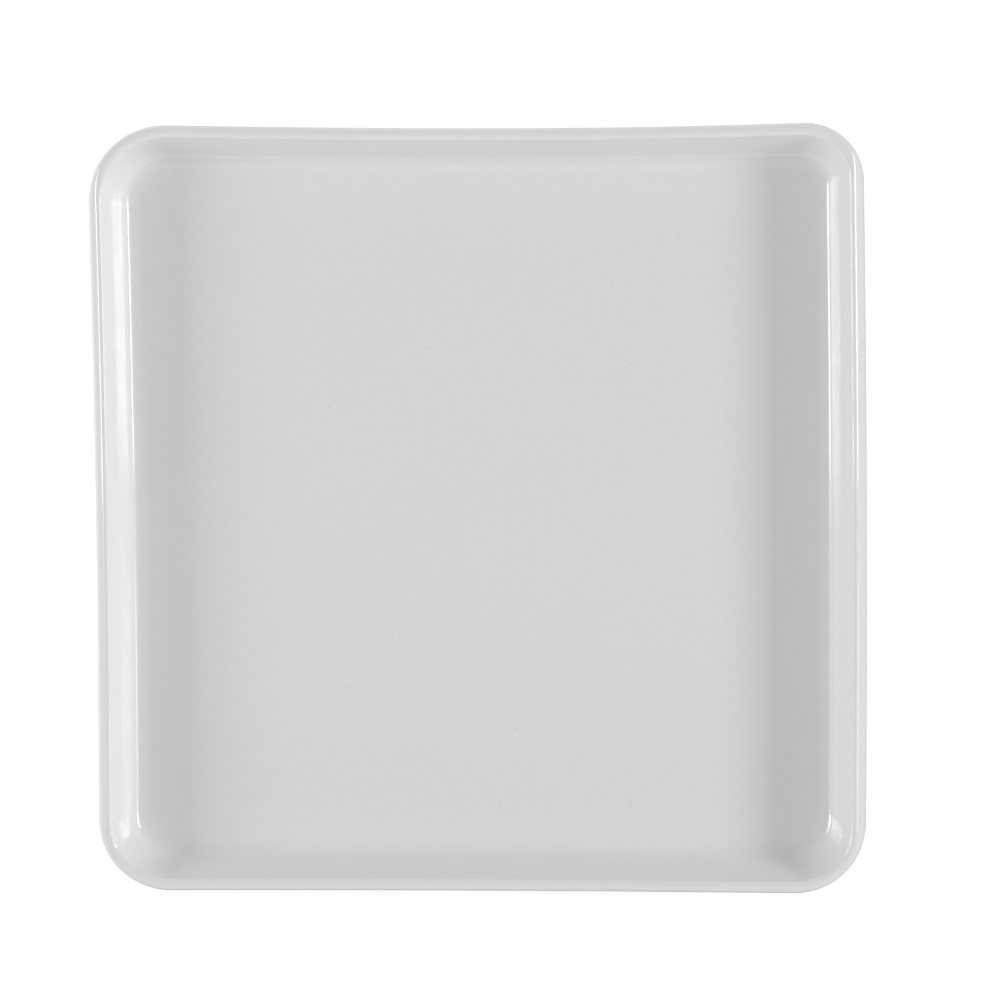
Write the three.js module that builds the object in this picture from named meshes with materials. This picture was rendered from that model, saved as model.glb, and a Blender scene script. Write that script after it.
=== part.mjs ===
// Square porcelain tray: a fired body on a bare foot ring, under two fired-on coats of white glaze.
// Millimetres, +Z up. The origin is at the middle of the plane that the foot ring stands on.
import * as THREE from 'three';

// Driving dimensions of the rim and the well
const SIDE = 254; // across the tray at its widest, a little below the rim's crest
const HEIGHT = 22; // from the foot to the rim's crest
const CORNER_RADIUS = 23; // in plan, at the widest line
const CREST_INSET = 3.6; // from the widest line in to the crest
const CREST_RADIUS = 1.1; // the crest's rounding in section
const RIM_SLOPE = 38; // degrees that the rim falls outwards from the crest
const SHOULDER_RADIUS = 3.3; // where the rim turns down into the outer wall
const WALL_HEAD_ANGLE = 70; // degrees from the horizontal of the hollow inner wall, under the crest
const WALL_FOOT_ANGLE = 56; // and where it meets the cove
const COVE_RADIUS = 3.4; // between the inner wall and the toe
const TOE_RADIUS = 17; // the gentle rise from the floor to the cove
const TOE_ANGLE = 14; // degrees from the horizontal where the toe meets the cove
const FLOOR_THICKNESS = 4.6;
const FLOOR_CORNER_RADIUS = 8.5; // in plan, where the flat floor ends

// Driving dimensions of the outside and the underside
const OUTER_ANGLE = 66; // degrees from the horizontal of the outer wall
const HEEL_RADIUS = 8.3; // between the outer wall and the underside
const HEEL_CORNER_RADIUS = 12; // in plan, where the heel ends
const FOOT_SETBACK = 5.5; // flat underside between the heel and the foot ring
const FOOT_HEIGHT = 2.4;
const FOOT_WIDTH = 3.2; // the flat that the tray stands on
const FOOT_DRAFT = 15; // degrees that each side of the foot ring leans
const FOOT_EDGE = 0.6; // rounding at the bottom of the foot ring
const FOOT_FILLET = 1; // rounding at the top of the foot ring
const FOOT_CORNER_RADIUS = 14; // in plan, at the middle of the foot ring

// Driving dimensions of the glaze
const GLAZE = 0.3; // thickness
const BARE_HEIGHT = 0.8; // height of the foot that is wiped clean of glaze

// Fineness of the curves
const SECTION_STEP = 12; // degrees of turn for each point of an arc in section
const CORNER_STEPS = 7; // flats round each corner in plan

const QUARTER_TURN = Math.PI / 2;
const wallHead = THREE.MathUtils.degToRad(WALL_HEAD_ANGLE);
const wallFoot = THREE.MathUtils.degToRad(WALL_FOOT_ANGLE);
const toeAngle = THREE.MathUtils.degToRad(TOE_ANGLE);
const outerAngle = THREE.MathUtils.degToRad(OUTER_ANGLE);
const rimSlope = THREE.MathUtils.degToRad(RIM_SLOPE);
const footDraft = THREE.MathUtils.degToRad(FOOT_DRAFT);
const sectionStep = THREE.MathUtils.degToRad(SECTION_STEP);

// Heights and half-widths that follow from the driving dimensions
const halfSide = SIDE / 2;
const crestHalf = halfSide - CREST_INSET;
const floorHeight = FOOT_HEIGHT + FLOOR_THICKNESS;
const toeRise = TOE_RADIUS * (1 - Math.cos(toeAngle));
const toeRun = TOE_RADIUS * Math.sin(toeAngle);
const coveRise = COVE_RADIUS * (Math.cos(toeAngle) - Math.cos(wallFoot));
const coveRun = COVE_RADIUS * (Math.sin(wallFoot) - Math.sin(toeAngle));
const crestRise = CREST_RADIUS * (1 - Math.cos(wallHead));
const crestRun = CREST_RADIUS * Math.sin(wallHead);
const wallRise = HEIGHT - floorHeight - toeRise - coveRise - crestRise;
const wallRadius = wallRise / (Math.cos(wallFoot) - Math.cos(wallHead));
const wallRun = wallRadius * (Math.sin(wallHead) - Math.sin(wallFoot));
const floorHalf = crestHalf - crestRun - wallRun - coveRun - toeRun;

// The shoulder, the foot's fillet and its edge are limited by the walls that they round
const rimRun = CREST_INSET - CREST_RADIUS * Math.sin(rimSlope);
const shoulderRadius = Math.min(SHOULDER_RADIUS, rimRun / (1 - Math.sin(rimSlope)));
const rimLength = (rimRun - shoulderRadius * (1 - Math.sin(rimSlope))) / Math.cos(rimSlope);
const draftTurn = 1 - Math.sin(footDraft);
const footFillet = Math.min(FOOT_FILLET, (FOOT_HEIGHT - BARE_HEIGHT) / draftTurn);
const footEdge = Math.min(FOOT_EDGE, BARE_HEIGHT / draftTurn);

// A pen that draws a section in lines and tangent arcs, keeping the outward normal, on its left, at each point
class SectionPen {
  constructor(half, height, heading) {
    this.place = new THREE.Vector2(half, height);
    this.heading = heading;
    this.points = [];
    this.mark();
  }

  normal() {
    return new THREE.Vector2(-Math.sin(this.heading), Math.cos(this.heading));
  }

  mark() {
    this.points.push({ half: this.place.x, height: this.place.y, normal: this.normal() });
  }

  line(length) {
    this.place.x += length * Math.cos(this.heading);
    this.place.y += length * Math.sin(this.heading);
    this.mark();
  }

  // A positive turn bends to the left, and a negative one to the right
  arc(radius, turn) {
    const reach = radius * Math.sign(turn);
    const centre = this.place.clone().addScaledVector(this.normal(), reach);
    const steps = Math.ceil(Math.abs(turn) / sectionStep);
    for (let step = 0; step < steps; step += 1) {
      this.heading += turn / steps;
      this.place.copy(centre).addScaledVector(this.normal(), -reach);
      this.mark();
    }
  }
}

// The glazed face from the edge of the floor, over the rim, to the end of the heel
function drawShell() {
  const pen = new SectionPen(floorHalf, floorHeight, 0);
  pen.arc(TOE_RADIUS, toeAngle);
  pen.arc(COVE_RADIUS, wallFoot - toeAngle);
  pen.arc(wallRadius, wallHead - wallFoot);
  pen.arc(CREST_RADIUS, -wallHead);
  const crest = pen.points.length - 1;
  pen.arc(CREST_RADIUS, -rimSlope);
  pen.line(rimLength);
  pen.arc(shoulderRadius, rimSlope - QUARTER_TURN);
  const shoulder = pen.points.length - 1;
  pen.arc(shoulderRadius, outerAngle - QUARTER_TURN);
  const heelRise = HEEL_RADIUS * (1 - Math.cos(outerAngle));
  pen.line((pen.place.y - FOOT_HEIGHT - heelRise) / Math.sin(outerAngle));
  pen.arc(HEEL_RADIUS, -outerAngle);
  return { points: pen.points, crest, shoulder };
}

// The glazed face of one side of the foot ring, from the underside down to where the glaze is wiped off
function drawFlank(half) {
  const pen = new SectionPen(half, FOOT_HEIGHT, -Math.PI);
  pen.arc(footFillet, QUARTER_TURN - footDraft);
  pen.line((pen.place.y - BARE_HEIGHT) / Math.cos(footDraft));
  return pen.points;
}

// The bare foot, from the end of one coat of glaze, under the ring, to the start of the other
function drawBareFoot(start) {
  const pen = new SectionPen(start.half, start.height, -QUARTER_TURN - footDraft);
  pen.line((start.height - footEdge * draftTurn) / Math.cos(footDraft));
  pen.arc(footEdge, footDraft - QUARTER_TURN);
  pen.line(FOOT_WIDTH);
  pen.arc(footEdge, footDraft - QUARTER_TURN);
  return pen.points.slice(1);
}

// The point of the body under a point of the glaze
function underGlaze(point) {
  return {
    half: point.half - GLAZE * point.normal.x,
    height: point.height - GLAZE * point.normal.y,
    centre: point.centre,
  };
}

// Each point of a section gets the distance from the middle of the tray to the centre of its corner arcs
function roundShell({ points, crest, shoulder }) {
  const rimCentre = halfSide - CORNER_RADIUS;
  const floorCentre = floorHalf - FLOOR_CORNER_RADIUS;
  const heelHalf = points.at(-1).half;
  const heelCentre = heelHalf - HEEL_CORNER_RADIUS;
  return points.map((point, index) => {
    let centre = rimCentre;
    if (index < crest) {
      centre = THREE.MathUtils.mapLinear(point.half, floorHalf, crestHalf, floorCentre, rimCentre);
    } else if (index > shoulder) {
      centre = THREE.MathUtils.mapLinear(point.half, halfSide, heelHalf, rimCentre, heelCentre);
    }
    return { ...point, centre };
  });
}

// A loop of points round the tray, counter-clockwise from above
function loopPoints({ half, height, centre }) {
  const radius = half - centre;
  const points = [];
  for (let quarter = 0; quarter < 4; quarter += 1) {
    const across = quarter === 0 || quarter === 3 ? centre : -centre;
    const along = quarter < 2 ? centre : -centre;
    for (let step = 0; step <= CORNER_STEPS; step += 1) {
      const angle = (quarter + step / CORNER_STEPS) * QUARTER_TURN;
      points.push(across + radius * Math.cos(angle), along + radius * Math.sin(angle), height);
    }
  }
  return points;
}

// A closed skin of loops round the tray, with its ends closed by fans
class LoopSkin {
  constructor() {
    this.loopSize = 4 * (CORNER_STEPS + 1);
    this.positions = [];
    this.triangles = [];
  }

  addPoints(coordinates) {
    const first = this.positions.length / 3;
    this.positions.push(...coordinates);
    return first;
  }

  addTriangle(corners, flipped) {
    this.triangles.push(...(flipped ? corners.toReversed() : corners));
  }

  // Joins two loops with a band that faces left of the way from the first to the second
  addBand(first, second, flipped = false) {
    for (let step = 0; step < this.loopSize; step += 1) {
      const next = (step + 1) % this.loopSize;
      this.addTriangle([first + step, second + step, second + next], flipped);
      this.addTriangle([first + step, second + next, first + next], flipped);
    }
  }

  // Joins a run of stations into one face, and returns the loops in order
  addFace(stations, flipped = false) {
    const loops = stations.map((station) => this.addPoints(loopPoints(station)));
    loops.slice(1).forEach((loop, index) => this.addBand(loops[index], loop, flipped));
    return loops;
  }

  // Fills a loop with a fan that faces up, or down if flipped
  addFan(loop, height, flipped = false) {
    const middle = this.addPoints([0, 0, height]);
    for (let step = 0; step < this.loopSize; step += 1) {
      this.addTriangle([middle, loop + step, loop + (step + 1) % this.loopSize], flipped);
    }
  }

  toMesh(name, material) {
    const geometry = new THREE.BufferGeometry();
    geometry.setAttribute('position', new THREE.Float32BufferAttribute(this.positions, 3));
    geometry.setIndex(this.triangles);
    geometry.computeVertexNormals();
    const mesh = new THREE.Mesh(geometry, material);
    mesh.name = name;
    return mesh;
  }
}

// The sections of the two coats of glaze, and of the body between them
const shell = drawShell();
const outerFlank = drawFlank(shell.points.at(-1).half - FOOT_SETBACK);
const bareFoot = drawBareFoot(underGlaze(outerFlank.at(-1)));
const footMiddle = (bareFoot[0].half + bareFoot.at(-1).half) / 2;
const footCentre = footMiddle - FOOT_CORNER_RADIUS;
const innerFlank = outerFlank.toReversed().map(({ half, height, normal }) => ({
  half: 2 * footMiddle - half,
  height,
  normal: new THREE.Vector2(-normal.x, normal.y),
}));
const roundFoot = (points) => points.map((point) => ({ ...point, centre: footCentre }));
const coatSection = [...roundShell(shell), ...roundFoot(outerFlank)];
const baseSection = roundFoot(innerFlank);
const coatSeat = coatSection.map(underGlaze);
const baseSeat = baseSection.map(underGlaze);

// The fired porcelain under the glaze, with the bare foot ring that it stands on
function buildBody() {
  const skin = new LoopSkin();
  const loops = skin.addFace([...coatSeat, ...roundFoot(bareFoot), ...baseSeat]);
  skin.addFan(loops[0], coatSeat[0].height);
  skin.addFan(loops.at(-1), baseSeat.at(-1).height, true);
  const fired = new THREE.MeshStandardMaterial({ color: 0xe9e6de, roughness: 0.6, metalness: 0 });
  return skin.toMesh('porcelain_body', fired);
}

const glazeFinish = { color: 0xf1f2f1, roughness: 0.12, metalness: 0 };

// The coat over the well, the rim, the outer wall and the outside of the foot ring
function buildCoat() {
  const skin = new LoopSkin();
  const faceLoops = skin.addFace(coatSection);
  const seatLoops = skin.addFace(coatSeat, true);
  skin.addBand(faceLoops.at(-1), seatLoops.at(-1));
  skin.addFan(faceLoops[0], coatSection[0].height);
  skin.addFan(seatLoops[0], coatSeat[0].height, true);
  return skin.toMesh('glaze_coat', new THREE.MeshStandardMaterial(glazeFinish));
}

// The coat on the hollow of the base, inside the foot ring
function buildBaseGlaze() {
  const skin = new LoopSkin();
  const faceLoops = skin.addFace(baseSection);
  const seatLoops = skin.addFace(baseSeat, true);
  skin.addBand(seatLoops[0], faceLoops[0]);
  skin.addFan(faceLoops.at(-1), baseSection.at(-1).height, true);
  skin.addFan(seatLoops.at(-1), baseSeat.at(-1).height);
  return skin.toMesh('base_glaze', new THREE.MeshStandardMaterial(glazeFinish));
}

const tray = new THREE.Group();
tray.add(buildBody(), buildCoat(), buildBaseGlaze());

export default tray;
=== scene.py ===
import math
from collections import namedtuple

import bpy
import numpy as np
from mathutils import Matrix, Vector


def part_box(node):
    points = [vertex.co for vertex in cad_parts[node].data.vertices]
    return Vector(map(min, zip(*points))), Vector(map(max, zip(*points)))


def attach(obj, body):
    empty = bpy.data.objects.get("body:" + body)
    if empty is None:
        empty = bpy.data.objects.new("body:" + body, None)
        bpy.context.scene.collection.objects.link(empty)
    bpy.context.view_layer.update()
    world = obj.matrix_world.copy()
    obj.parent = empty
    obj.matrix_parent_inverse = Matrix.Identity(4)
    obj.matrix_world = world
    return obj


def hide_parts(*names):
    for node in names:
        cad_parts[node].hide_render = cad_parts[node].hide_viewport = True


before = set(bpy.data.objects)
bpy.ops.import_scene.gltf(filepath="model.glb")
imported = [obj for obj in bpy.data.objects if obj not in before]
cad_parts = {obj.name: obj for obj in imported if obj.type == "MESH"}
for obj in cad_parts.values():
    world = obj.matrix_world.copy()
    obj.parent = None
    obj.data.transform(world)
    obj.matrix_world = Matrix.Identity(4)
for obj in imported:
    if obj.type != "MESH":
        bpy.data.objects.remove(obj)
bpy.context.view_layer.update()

MM = 0.001
RIGHT_ANGLE = math.pi / 2

# How far the crest lies in from the outline, and the section's radii from the floor outwards
Profile = namedtuple("Profile", "crest_inset cove crest brow lip shoulder")
SIDES = Profile(
    crest_inset=3.6 * MM, cove=3.4 * MM, crest=1.1 * MM, brow=1.1 * MM, lip=2.4 * MM, shoulder=3.3 * MM
)
ENDS = Profile(
    crest_inset=2.3 * MM, cove=5.5 * MM, crest=2.0 * MM, brow=2.1 * MM, lip=2.1 * MM, shoulder=2.1 * MM
)

# The rest of the section, the same all round, in metres and radians
_, coat_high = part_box("glaze_coat")
HALF_SIDE = coat_high.x
HEIGHT = coat_high.z
LIP_ANGLE = math.radians(26)
RIM_SLOPE = math.radians(38)
WALL_HEAD_ANGLE = math.radians(70)
WALL_FOOT_ANGLE = math.radians(56)
TOE_ANGLE = math.radians(14)
TOE_RADIUS = 17.0 * MM
FLOOR_THICKNESS = 4.6 * MM
OUTER_ANGLE = math.radians(66)
HEEL_RADIUS = 8.3 * MM
FOOT_SETBACK = 5.5 * MM
FOOT_HEIGHT = 2.4 * MM
FOOT_WIDTH = 3.2 * MM
FOOT_DRAFT = math.radians(15)
FOOT_EDGE = 0.6 * MM
FOOT_FILLET = 1.0 * MM
GLAZE = 0.3 * MM
BARE_HEIGHT = 0.8 * MM
FLOOR_HEIGHT = FOOT_HEIGHT + FLOOR_THICKNESS

# Corner radii in plan: back right, back left, front left, front right, as the fired tray has them
RIM_CORNER_RADII = np.array([19.5, 26.8, 24.7, 23.6]) * MM
FLOOR_CORNER_RADII = np.array([6.0, 10.5, 11.0, 10.0]) * MM
HEEL_CORNER_RADIUS = 12.0 * MM
FOOT_CORNER_RADIUS = 14.0 * MM

# How far the middle of each side is drawn in by the firing; a minus swells out
BOW_LEFT = 1.16 * MM
BOW_RIGHT = -0.86 * MM
BOW_BACK = 2.05 * MM
BOW_FRONT = 0.65 * MM

# The power by which the bows fade inwards, the lean of the back's bow to the right, and the plan's lozenge
BOW_FADE = 2.5
BACK_SKEW = 0.27
LOZENGE = -0.0014

# Sine of the turn round a corner by which the section of the ends has taken over
END_TURN = 0.6

# Fineness of the mesh
SECTION_STEP = math.radians(4)
COVE_STEPS = 12
WALL_STEPS = 14
RIM_STEPS = 2
OUTER_STEPS = 4
CORNER_STEPS = 20
SIDE_STEPS = 22
FLOOR_RINGS = 14


class SectionPen:
    """Draws a section in lines and tangent arcs, keeping the outward normal, on its left, at each point."""

    def __init__(self, half, height, heading):
        self.place = np.array([half, height])
        self.heading = heading
        self.points = []
        self.mark()

    def normal(self):
        return np.array([-math.sin(self.heading), math.cos(self.heading)])

    def mark(self):
        self.points.append((*self.place, *self.normal()))

    def line(self, length, steps=1):
        way = np.array([math.cos(self.heading), math.sin(self.heading)])
        for _ in range(steps):
            self.place = self.place + way * length / steps
            self.mark()

    def arc(self, radius, turn, steps=None):
        """A positive turn bends to the left, and a negative one to the right."""
        reach = math.copysign(radius, turn)
        centre = self.place + self.normal() * reach
        steps = steps or math.ceil(abs(turn) / SECTION_STEP)
        for _ in range(steps):
            self.heading += turn / steps
            self.place = centre - self.normal() * reach
            self.mark()


def shell_section(profile):
    """The glazed face from the edge of the floor, over the rim, to the end of the heel."""
    toe_rise = TOE_RADIUS * (1 - math.cos(TOE_ANGLE))
    cove_rise = profile.cove * (math.cos(TOE_ANGLE) - math.cos(WALL_FOOT_ANGLE))
    crest_rise = profile.crest * (1 - math.cos(WALL_HEAD_ANGLE))
    wall_rise = HEIGHT - FLOOR_HEIGHT - toe_rise - cove_rise - crest_rise
    wall_radius = wall_rise / (math.cos(WALL_FOOT_ANGLE) - math.cos(WALL_HEAD_ANGLE))
    wall_run = wall_radius * (math.sin(WALL_HEAD_ANGLE) - math.sin(WALL_FOOT_ANGLE))
    toe_run = TOE_RADIUS * math.sin(TOE_ANGLE)
    cove_run = profile.cove * (math.sin(WALL_FOOT_ANGLE) - math.sin(TOE_ANGLE))
    crest_run = profile.crest * math.sin(WALL_HEAD_ANGLE)
    inner_run = crest_run + wall_run + cove_run + toe_run
    pen = SectionPen(HALF_SIDE - profile.crest_inset - inner_run, FLOOR_HEIGHT, 0.0)
    pen.arc(TOE_RADIUS, TOE_ANGLE)
    pen.arc(profile.cove, WALL_FOOT_ANGLE - TOE_ANGLE, COVE_STEPS)
    pen.arc(wall_radius, WALL_HEAD_ANGLE - WALL_FOOT_ANGLE, WALL_STEPS)
    pen.arc(profile.crest, -WALL_HEAD_ANGLE)
    pen.arc(profile.brow, -LIP_ANGLE)
    pen.arc(profile.lip, LIP_ANGLE - RIM_SLOPE)
    rim_run = HALF_SIDE - pen.place[0] - profile.shoulder * (1 - math.sin(RIM_SLOPE))
    pen.line(rim_run / math.cos(RIM_SLOPE), RIM_STEPS)
    pen.arc(profile.shoulder, RIM_SLOPE - RIGHT_ANGLE)
    widest = len(pen.points) - 1
    pen.arc(profile.shoulder, OUTER_ANGLE - RIGHT_ANGLE)
    outer_drop = pen.place[1] - FOOT_HEIGHT - HEEL_RADIUS * (1 - math.cos(OUTER_ANGLE))
    pen.line(outer_drop / math.sin(OUTER_ANGLE), OUTER_STEPS)
    pen.arc(HEEL_RADIUS, -OUTER_ANGLE)
    return np.array(pen.points), widest


def flank_section(half):
    """The glazed face of one side of the foot ring, down to where the glaze is wiped off."""
    pen = SectionPen(half, FOOT_HEIGHT, -math.pi)
    pen.arc(FOOT_FILLET, RIGHT_ANGLE - FOOT_DRAFT)
    pen.line((pen.place[1] - BARE_HEIGHT) / math.cos(FOOT_DRAFT))
    return np.array(pen.points)


def bare_foot_section(half, height):
    """The bare foot, from the end of one coat of glaze, under the ring, to the start of the other."""
    pen = SectionPen(half, height, -RIGHT_ANGLE - FOOT_DRAFT)
    edge_rise = FOOT_EDGE * (1 - math.sin(FOOT_DRAFT))
    pen.line((height - edge_rise) / math.cos(FOOT_DRAFT))
    pen.arc(FOOT_EDGE, FOOT_DRAFT - RIGHT_ANGLE)
    pen.line(FOOT_WIDTH)
    pen.arc(FOOT_EDGE, FOOT_DRAFT - RIGHT_ANGLE)
    return np.array(pen.points[1:])


def with_centres(points, centres):
    """Stations of a loop: half-width, height, normal, and the corner arcs' centres for the four corners."""
    return np.hstack([points, np.broadcast_to(centres, (len(points), 4))])


def shell_stations(points, widest):
    """The corner arcs run parallel round the rim, and have their own radii at the floor and at the heel."""
    halves = points[:, 0]
    floor_half = halves[0]
    crest_half = halves[points[:, 1].argmax()]
    rim = HALF_SIDE - RIM_CORNER_RADII
    floor = floor_half - FLOOR_CORNER_RADII
    heel = halves[-1] - HEEL_CORNER_RADIUS
    index = np.arange(len(points))
    inside = np.clip((halves - floor_half) / (crest_half - floor_half), 0, 1)[:, None]
    outside = np.clip((HALF_SIDE - halves) / (HALF_SIDE - halves[-1]), 0, 1)[:, None]
    before = (index <= widest)[:, None]
    centres = np.where(before, floor + (rim - floor) * inside, rim + (heel - rim) * outside)
    return with_centres(points, centres)


def under_glaze(stations):
    """The stations of the body under the glaze."""
    seats = stations.copy()
    seats[..., :2] -= GLAZE * stations[..., 2:4]
    return seats


def loop_plan():
    """For each vertex round a loop: its corner, its angle there, and its way along the side that follows."""
    plan = []
    for quarter in range(4):
        for step in range(CORNER_STEPS + 1):
            plan.append((quarter, (quarter + step / CORNER_STEPS) * RIGHT_ANGLE, 0.0))
        for step in range(1, SIDE_STEPS):
            plan.append((quarter, (quarter + 1) * RIGHT_ANGLE, step / SIDE_STEPS))
    return np.array(plan)


PLAN = loop_plan()
LOOP_SIZE = len(PLAN)
CORNER_SIGNS = np.array([[1, 1], [-1, 1], [-1, -1], [1, -1]])

# How far each vertex round a loop has the section of the front and back, and not that of the left and right
end_turn = np.clip(np.abs(np.sin(PLAN[:, 1])) / END_TURN, 0, 1)
END_SHARE = (end_turn * end_turn * (3 - 2 * end_turn))[:, None]


def corner_points(station, corners, angles):
    """Points on the corner arcs of one station, each at its own corner and angle."""
    centres = station[4:][corners]
    radii = station[0] - centres
    ways = np.column_stack([np.cos(angles), np.sin(angles)])
    return CORNER_SIGNS[corners] * centres[:, None] + ways * radii[:, None]


def plain_loop(station):
    """A loop of points round the tray at one station of one section, counter-clockwise from above."""
    corners = PLAN[:, 0].astype(int)
    angles = PLAN[:, 1]
    along = PLAN[:, 2][:, None]
    here = corner_points(station, corners, angles)
    there = corner_points(station, (corners + 1) % 4, angles)
    flat = np.where(along > 0, here + (there - here) * along, here)
    return np.column_stack([flat, np.full(LOOP_SIZE, station[1])])


def loop_points(stations):
    """A loop that passes from the section of the sides to that of the ends and back."""
    side, end = (plain_loop(station) for station in stations)
    return side + (end - side) * END_SHARE


def bow_fade(share):
    return np.clip(share, 0, 1) ** BOW_FADE


def kiln_warp(points):
    """Bows the sides, less and less towards the middle of the tray, and makes the plan a slight lozenge."""
    across = points[:, 0] / HALF_SIDE
    along = points[:, 1] / HALF_SIDE
    warped = points.copy()
    back_bow = BOW_BACK * (1 + BACK_SKEW * across)
    warped[:, 0] += (1 - along ** 2) * (BOW_LEFT * bow_fade(-across) - BOW_RIGHT * bow_fade(across))
    warped[:, 1] += (1 - across ** 2) * (BOW_FRONT * bow_fade(-along) - back_bow * bow_fade(along))
    warped[:, :2] += LOZENGE * warped[:, 1::-1]
    return warped


class LoopSkin:
    """A closed skin of loops round the tray, with flat ends closed by shrinking loops and a middle point."""

    def __init__(self):
        self.points = []
        self.faces = []

    def add_loop(self, points):
        first = sum(len(block) for block in self.points)
        self.points.append(points)
        return first

    def add_face(self, corners, flipped):
        self.faces.append(corners[::-1] if flipped else corners)

    def add_band(self, first, second, flipped=False):
        """Joins two loops with a band that faces left of the way from the first to the second."""
        for step in range(LOOP_SIZE):
            after = (step + 1) % LOOP_SIZE
            self.add_face([first + step, second + step, second + after, first + after], flipped)

    def add_run(self, stations, flipped=False):
        loops = [self.add_loop(loop_points(station)) for station in stations]
        for first, second in zip(loops, loops[1:]):
            self.add_band(first, second, flipped)
        return loops

    def add_flat(self, loop, station, flipped=False):
        """Fills a loop with smaller loops and a fan, facing up, or down if flipped."""
        edge = loop_points(station)
        outer = loop
        for ring in range(FLOOR_RINGS - 1, 0, -1):
            share = ring / FLOOR_RINGS
            inner = self.add_loop(edge * [share, share, 1])
            self.add_band(inner, outer, flipped)
            outer = inner
        middle = self.add_loop(np.array([[0.0, 0.0, edge[0, 2]]]))
        for step in range(LOOP_SIZE):
            self.add_face([middle, outer + step, outer + (step + 1) % LOOP_SIZE], flipped)

    def to_piece(self, name, material, node):
        mesh = bpy.data.meshes.new(name)
        mesh.from_pydata(kiln_warp(np.vstack(self.points)).tolist(), [], self.faces)
        mesh.polygons.foreach_set("use_smooth", [True] * len(mesh.polygons))
        mesh.materials.append(material)
        mesh.update()
        piece = bpy.data.objects.new(name, mesh)
        bpy.context.scene.collection.objects.link(piece)
        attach(piece, "root")
        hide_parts(node)


# Where the values of a noise mostly lie
NOISE_RANGE = (0.3, 0.7)

# The share of a speck's radius that is full, and how sharply the cells with specks are chosen
SPECK_CORE = 0.4
CHOICE_EDGE = 0.01


class NodeKit:
    """Nodes that make a pattern over the places of a surface, in metres, or over a room's directions."""

    def __init__(self, tree, space):
        self.nodes = tree.nodes
        self.links = tree.links
        self.place = self.nodes.new("ShaderNodeTexCoord").outputs[space]

    def noise(self, size, detail=2.0):
        node = self.nodes.new("ShaderNodeTexNoise")
        node.inputs["Scale"].default_value = 1 / size
        node.inputs["Detail"].default_value = detail
        self.links.new(self.place, node.inputs["Vector"])
        return node.outputs["Fac"]

    def axis(self, name):
        node = self.nodes.new("ShaderNodeSeparateXYZ")
        self.links.new(self.place, node.inputs["Vector"])
        return node.outputs[name]

    def map(self, value, low, high, start, end):
        """Takes a value from the range low to high to the range start to end, and holds it at the ends."""
        node = self.nodes.new("ShaderNodeMapRange")
        for name, number in zip(("From Min", "From Max", "To Min", "To Max"), (low, high, start, end)):
            node.inputs[name].default_value = number
        self.links.new(value, node.inputs["Value"])
        return node.outputs["Result"]

    def times(self, first, second):
        node = self.nodes.new("ShaderNodeMath")
        node.operation = "MULTIPLY"
        self.links.new(first, node.inputs[0])
        self.links.new(second, node.inputs[1])
        return node.outputs["Value"]

    def blend(self, share, first, second):
        """Goes from the first colour to the second as the share goes from 0 to 1."""
        node = self.nodes.new("ShaderNodeMix")
        node.data_type = "RGBA"
        self.links.new(share, node.inputs["Factor"])
        for socket, colour in zip(("A", "B"), (first, second)):
            slot = next(item for item in node.inputs if item.name == socket and item.type == "RGBA")
            if isinstance(colour, tuple):
                slot.default_value = (*colour, 1)
            else:
                self.links.new(colour, slot)
        return next(item for item in node.outputs if item.type == "RGBA")

    def specks(self, spacing, radius, share):
        """Round specks in a random share of the cells of a loose pattern; 1 in a speck and 0 elsewhere."""
        cells = self.nodes.new("ShaderNodeTexVoronoi")
        cells.inputs["Scale"].default_value = 1 / spacing
        self.links.new(self.place, cells.inputs["Vector"])
        pick = self.nodes.new("ShaderNodeSeparateColor")
        self.links.new(cells.outputs["Color"], pick.inputs["Color"])
        edge = radius / spacing
        inside = self.map(cells.outputs["Distance"], SPECK_CORE * edge, edge, 1, 0)
        chosen = self.map(pick.outputs["Red"], share, share + CHOICE_EDGE, 1, 0)
        return self.times(inside, chosen)


class MaterialKit(NodeKit):
    """The nodes of one glossy or matt material."""

    def __init__(self, name):
        self.material = bpy.data.materials.new(name)
        self.material.use_nodes = True
        super().__init__(self.material.node_tree, "Object")
        self.shader = self.nodes["Principled BSDF"]

    def set(self, **values):
        """Sets shader sockets that are the same all over the surface."""
        for name, value in values.items():
            self.shader.inputs[name.replace("_", " ")].default_value = value

    def colour(self, output):
        self.links.new(output, self.shader.inputs["Base Color"])

    def roughness(self, output):
        self.links.new(output, self.shader.inputs["Roughness"])

    def bump(self, *layers):
        """Layers of relief, each a height from 0 to 1 and its depth in metres."""
        normal = None
        for height, depth in layers:
            node = self.nodes.new("ShaderNodeBump")
            node.inputs["Distance"].default_value = depth
            self.links.new(height, node.inputs["Height"])
            if normal:
                self.links.new(normal, node.inputs["Normal"])
            normal = node.outputs["Normal"]
        self.links.new(normal, self.shader.inputs["Normal"])


def glaze_material():
    """Glossy white glaze, faintly mottled, with a few pale specks and the slow waves of a fired surface."""
    kit = MaterialKit("white_glaze")
    kit.set(IOR=1.5)
    mottle = kit.noise(2.2 * MM, detail=3)
    clouds = kit.noise(38 * MM)
    fine = kit.map(mottle, *NOISE_RANGE, 0, 1)
    broad = kit.map(clouds, 0.35, 0.65, 0, 1)
    cool = kit.blend(fine, (0.779, 0.785, 0.783), (0.795, 0.800, 0.798))
    warm = kit.blend(fine, (0.783, 0.787, 0.780), (0.800, 0.803, 0.796))
    ground = kit.blend(broad, cool, warm)
    dots = kit.specks(spacing=5.5 * MM, radius=0.55 * MM, share=0.22)
    kit.colour(kit.blend(kit.map(dots, 0, 1, 0, 0.5), ground, (0.66, 0.655, 0.635)))
    kit.roughness(kit.map(mottle, *NOISE_RANGE, 0.055, 0.09))
    waves = kit.noise(30 * MM)
    peel = kit.noise(3.2 * MM)
    kit.bump((waves, 0.02 * MM), (peel, 0.001 * MM))
    return kit.material


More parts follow.
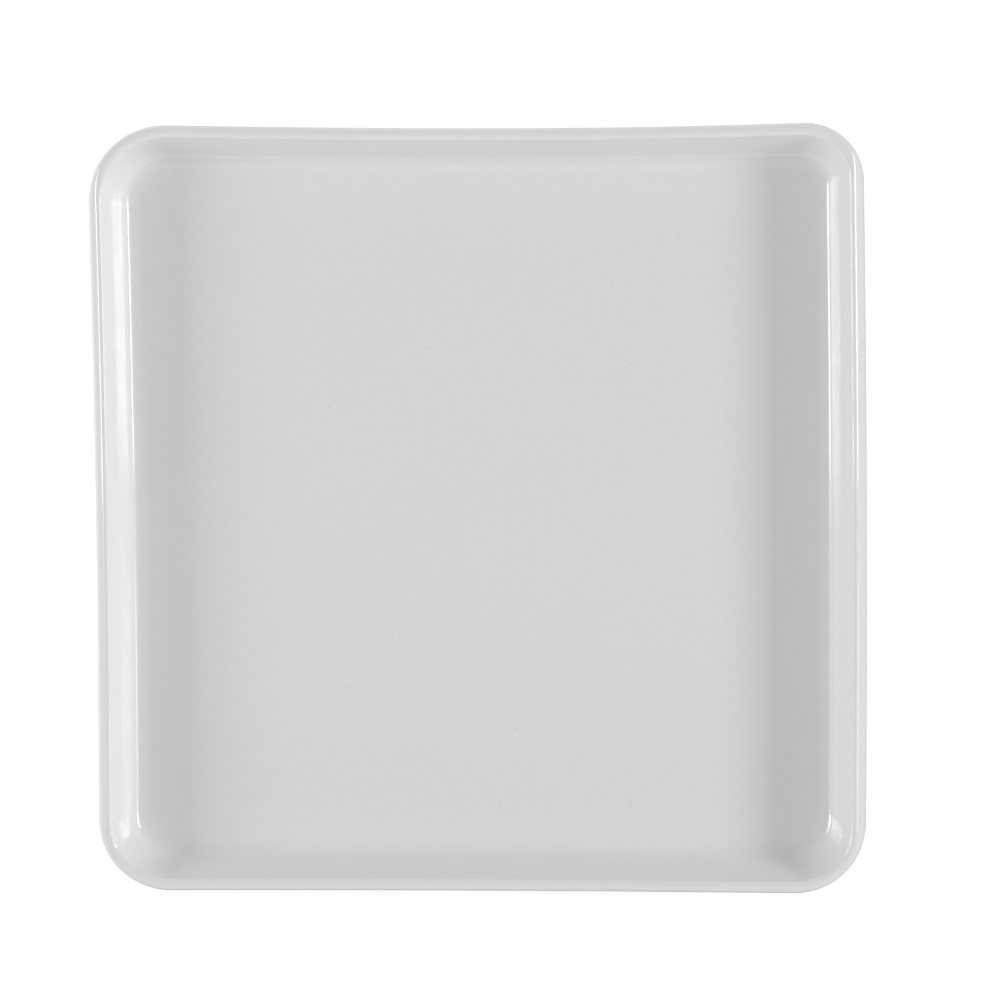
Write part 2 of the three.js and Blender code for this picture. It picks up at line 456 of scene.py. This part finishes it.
def bare_material():
    """Matt fired porcelain: a fine grain, warm where it was toasted by the kiln shelf."""
    kit = MaterialKit("bare_porcelain")
    grain = kit.noise(0.5 * MM, detail=4)
    toast = kit.noise(16 * MM, detail=3)
    tone = kit.map(grain, *NOISE_RANGE, 0, 1)
    pale = kit.blend(tone, (0.70, 0.675, 0.62), (0.77, 0.75, 0.70))
    brown = kit.blend(tone, (0.62, 0.565, 0.475), (0.70, 0.655, 0.575))
    kit.colour(kit.blend(kit.map(toast, 0.42, 0.68, 0, 1), pale, brown))
    kit.roughness(kit.map(grain, *NOISE_RANGE, 0.55, 0.75))
    kit.bump((grain, 0.05 * MM))
    return kit.material


def build_coat(coat, seats, glaze):
    """The coat of glaze over the well, the rim and the outside."""
    skin = LoopSkin()
    face = skin.add_run(coat)
    seat = skin.add_run(seats, flipped=True)
    skin.add_band(face[-1], seat[-1])
    skin.add_flat(face[0], coat[0])
    skin.add_flat(seat[0], seats[0], flipped=True)
    skin.to_piece("tray_glaze", glaze, "glaze_coat")


def build_body(seats, bare):
    """The porcelain under both coats of glaze, bare at the foot."""
    skin = LoopSkin()
    loops = skin.add_run(seats)
    skin.add_flat(loops[0], seats[0])
    skin.add_flat(loops[-1], seats[-1], flipped=True)
    skin.to_piece("tray_body", bare, "porcelain_body")


def build_base(base, seats, glaze):
    """The pool of glaze on the base, inside the foot ring."""
    skin = LoopSkin()
    face = skin.add_run(base)
    seat = skin.add_run(seats, flipped=True)
    skin.add_band(seat[0], face[0])
    skin.add_flat(face[-1], base[-1], flipped=True)
    skin.add_flat(seat[-1], seats[-1])
    skin.to_piece("tray_base_glaze", glaze, "base_glaze")


def build_tray():
    """The three pieces, from the stations of both sections of the shell and of the foot ring."""
    shells = np.stack([shell_stations(*shell_section(profile)) for profile in (SIDES, ENDS)], axis=1)
    outer_flank = flank_section(shells[-1, 0, 0] - FOOT_SETBACK)
    last = outer_flank[-1]
    bare_foot = bare_foot_section(last[0] - GLAZE * last[2], last[1] - GLAZE * last[3])
    foot_middle = (bare_foot[0, 0] + bare_foot[-1, 0]) / 2
    inner_flank = outer_flank[::-1] * [-1, 1, -1, 1] + [2 * foot_middle, 0, 0, 0]
    foot_centre = foot_middle - FOOT_CORNER_RADIUS
    outer, base, foot = (
        np.stack([with_centres(points, foot_centre)] * 2, axis=1)
        for points in (outer_flank, inner_flank, bare_foot)
    )
    coat = np.vstack([shells, outer])
    coat_seats = under_glaze(coat)
    base_seats = under_glaze(base)
    glaze = glaze_material()
    build_coat(coat, coat_seats, glaze)
    build_body(np.vstack([coat_seats, foot, base_seats]), bare_material())
    build_base(base, base_seats, glaze)


# The floor: half its side, and the radiance of its glow
FLOOR_REACH = 3.0
FLOOR_GLOW = 0.4


def build_floor():
    """A white sweep that glows a little; the tray sees the room's table in its place."""
    mesh = bpy.data.meshes.new("studio_floor")
    corners = [(across * FLOOR_REACH, along * FLOOR_REACH, 0) for across, along in CORNER_SIGNS.tolist()]
    mesh.from_pydata(corners, [], [(0, 1, 2, 3)])
    kit = MaterialKit("studio_floor")
    kit.set(Emission_Color=(1, 1, 1, 1), Emission_Strength=FLOOR_GLOW)
    paper = kit.noise(4 * MM)
    kit.colour(kit.blend(paper, (0.9, 0.9, 0.9), (0.92, 0.92, 0.92)))
    kit.roughness(kit.map(paper, *NOISE_RANGE, 0.6, 0.7))
    mesh.materials.append(kit.material)
    floor = bpy.data.objects.new("studio_floor", mesh)
    bpy.context.scene.collection.objects.link(floor)
    floor.visible_diffuse = False
    floor.visible_glossy = False


# Camera: far off with a long lens, almost straight above and leaning to the back right
CAMERA_PLACE = Vector((0.1323, 0.19, 1.8474))
CAMERA_TARGET = Vector((0.00653, 0.00122, 0.0))
CAMERA_ROLL = math.radians(-0.473)
FOCAL_PIXELS = 5618
IMAGE_PIXELS = 1000
SENSOR = 36.0
CLIP_END = 20.0


def build_camera():
    back = (CAMERA_PLACE - CAMERA_TARGET).normalized()
    right = Vector((0, 1, 0)).cross(back).normalized()
    up = back.cross(right)
    turned_right = right * math.cos(CAMERA_ROLL) + up * math.sin(CAMERA_ROLL)
    turned_up = up * math.cos(CAMERA_ROLL) - right * math.sin(CAMERA_ROLL)
    data = bpy.data.cameras.new("camera")
    data.sensor_width = SENSOR
    data.lens = FOCAL_PIXELS / IMAGE_PIXELS * SENSOR
    data.clip_end = CLIP_END
    camera = bpy.data.objects.new("camera", data)
    axes = Matrix((turned_right, turned_up, back)).transposed()
    camera.matrix_world = Matrix.Translation(CAMERA_PLACE) @ axes.to_4x4()
    bpy.context.scene.collection.objects.link(camera)
    bpy.context.scene.camera = camera


# The light: a row of three boxes low on each side and a broad fill high in front
LIGHT_DISTANCE = 5.0
RIGHT, LEFT, FRONT = (1, 0), (-1, 0), (0, -1)
RIGHT_ELEVATION = math.radians(23.5)
LEFT_ELEVATION = math.radians(22)
FILL_ELEVATION = math.radians(60)
RIGHT_WIDTH = 1.0
LEFT_WIDTH = 1.58
RIGHT_COLOUR = (0.965, 1.0, 0.985)
WHITE = (1.0, 1.0, 1.0)
FILL_SIZE = (8.0, 2.5)
FILL_RADIANCE = 0.46

# The boxes of each row: how far to the back each lies, its length along the row and its radiance
SoftBox = namedtuple("SoftBox", "along length radiance")
RIGHT_ROW = {
    "right_key": SoftBox(along=1.0, length=1.0, radiance=26),
    "right_edge": SoftBox(along=0.025, length=0.95, radiance=16.6),
    "right_tail": SoftBox(along=-0.77, length=0.36, radiance=7),
}
LEFT_ROW = {
    "left_key": SoftBox(along=1.0, length=1.0, radiance=7.2),
    "left_edge": SoftBox(along=0.0, length=1.02, radiance=12.9),
    "left_tail": SoftBox(along=-0.71, length=0.4, radiance=2),
}


def add_soft_box(name, side, elevation, along, size, radiance, colour):
    """A soft box that faces the tray; its radiance is what a mirror in the tray would show."""
    across, back = side
    reach = LIGHT_DISTANCE * math.cos(elevation)
    height = LIGHT_DISTANCE * math.sin(elevation)
    place = Vector((across * reach, back * reach + along, height))
    data = bpy.data.lights.new(name, "AREA")
    data.shape = "RECTANGLE"
    data.size, data.size_y = size
    data.energy = radiance * math.pi * data.size * data.size_y
    data.color = colour
    light = bpy.data.objects.new(name, data)
    light.location = place
    light.rotation_euler = (-place).to_track_quat("-Z", "Y").to_euler()
    bpy.context.scene.collection.objects.link(light)


def add_row(row, side, elevation, width, colour):
    for name, box in row.items():
        add_soft_box(name, side, elevation, box.along, (box.length, width), box.radiance, colour)


def build_lights():
    add_row(RIGHT_ROW, RIGHT, RIGHT_ELEVATION, RIGHT_WIDTH, RIGHT_COLOUR)
    add_row(LEFT_ROW, LEFT, LEFT_ELEVATION, LEFT_WIDTH, WHITE)
    add_soft_box("front_fill", FRONT, FILL_ELEVATION, 0.0, FILL_SIZE, FILL_RADIANCE, WHITE)


# The room: its radiance overhead, at the front and back walls, and over the table
OVERHEAD = 0.367
FRONT_WALL = 2.1
BACK_WALL = 0.95
NEAR_TABLE = 0.0
FAR_TABLE = 2.5

# Where the walls end, start and are full, and the table's soft edge, as parts of a direction's length
WALL_TOP = 0.5
WALL_START = 0.3
WALL_FULL = 0.9
TABLE_EDGE = 0.02


def grey(level):
    return (level, level, level)


def build_room():
    """A pale room, brighter low at the front and back, over a table that is brightest at the back left."""
    world = bpy.data.worlds.new("studio")
    world.use_nodes = True
    kit = NodeKit(world.node_tree, "Generated")
    rise = kit.axis("Z")
    along = kit.axis("Y")
    low = kit.map(rise, 0, WALL_TOP, 1, 0)
    front = kit.times(low, kit.map(along, -WALL_FULL, -WALL_START, 1, 0))
    back = kit.times(low, kit.map(along, WALL_START, WALL_FULL, 0, 1))
    far = kit.times(kit.map(along, -1, 1, 0, 1), kit.map(kit.axis("X"), -1, 1, 1, 0))
    above = kit.blend(back, kit.blend(front, grey(OVERHEAD), grey(FRONT_WALL)), grey(BACK_WALL))
    table = kit.blend(far, grey(NEAR_TABLE), grey(FAR_TABLE))
    room = kit.blend(kit.map(rise, -TABLE_EDGE, 0, 1, 0), above, table)
    kit.links.new(room, kit.nodes["Background"].inputs["Color"])
    bpy.context.scene.world = world


bpy.context.scene.view_settings.view_transform = "Standard"

build_tray()
build_floor()
build_camera()
build_lights()
build_room()
